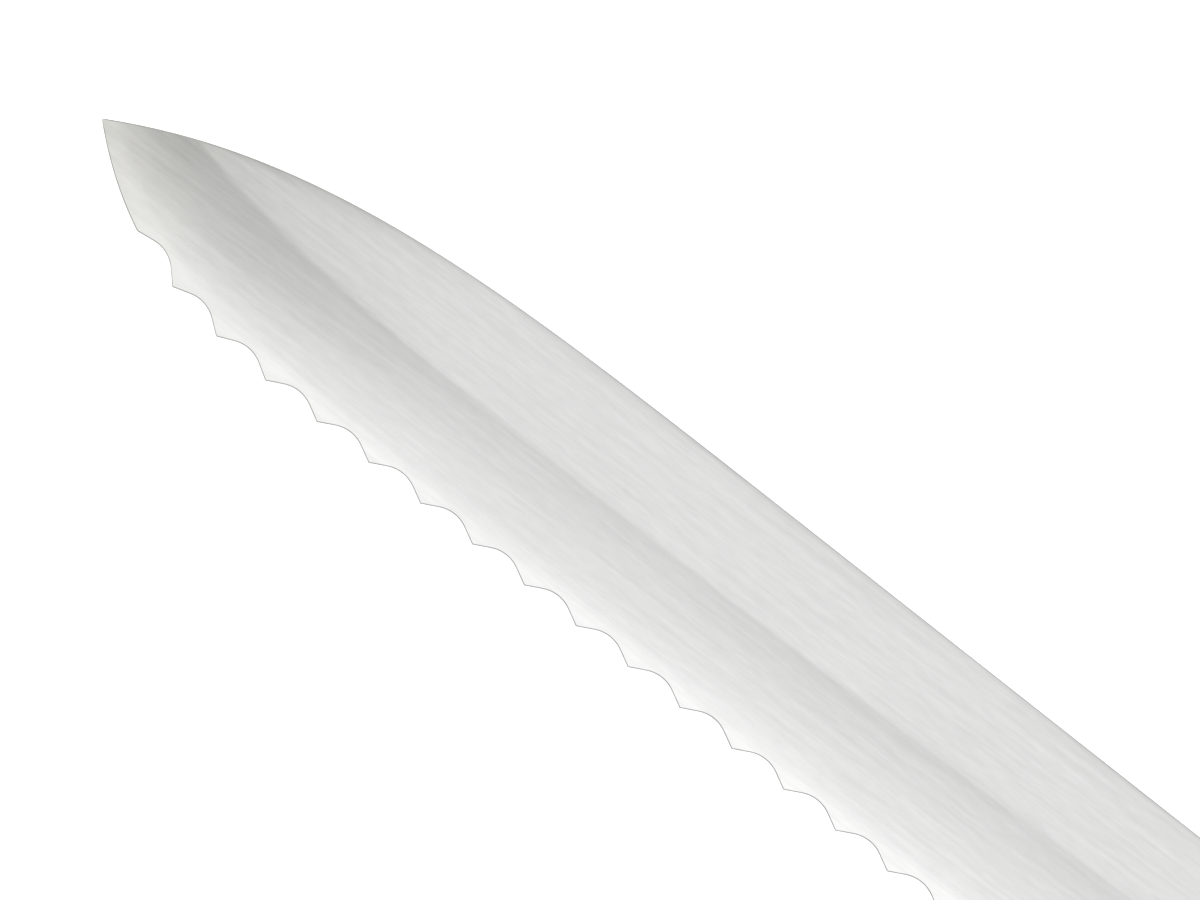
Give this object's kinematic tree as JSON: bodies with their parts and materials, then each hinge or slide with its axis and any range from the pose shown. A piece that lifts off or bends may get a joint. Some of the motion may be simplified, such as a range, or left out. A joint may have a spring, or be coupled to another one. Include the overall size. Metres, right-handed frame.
{
  "type": "bread knife",
  "caption": "Bread knife: a wide hollow-ground steel blade with a scalloped edge and spear-shaped tip, on a full tang between riveted wooden scales, with steel bolsters and a hanging hole.",
  "frame": {"origin": "middle of the bottom of the box round the knife as it lies on its right side, on the surface it lies on", "axes": "+X from the tip along the blade to the butt of the handle, +Y from the edge to the spine, +Z out of the left side of the blade, which faces up"},
  "size_m": [0.38, 0.033, 0.0188],
  "materials": {
    "blade_steel": "satin",
    "bolster_steel": "satin",
    "rivet_brass": "satin",
    "handle_wood": "satin",
    "liner_fibre": "matte"
  },
  "bodies": {
    "root": {"blade": "blade_steel", "bolster_left": "bolster_steel", "bolster_right": "bolster_steel", "bolster_pin_upper": "bolster_steel", "bolster_pin_lower": "bolster_steel", "liner_left": "liner_fibre", "liner_right": "liner_fibre", "scale_left": "handle_wood", "scale_right": "handle_wood", "rivet_pin_front": "rivet_brass", "rivet_tube_front": "rivet_brass", "rivet_pin_middle": "rivet_brass", "rivet_tube_middle": "rivet_brass", "rivet_pin_rear": "rivet_brass", "rivet_tube_rear": "rivet_brass", "hanging_tube": "rivet_brass"}
  },
  "joints": []
}
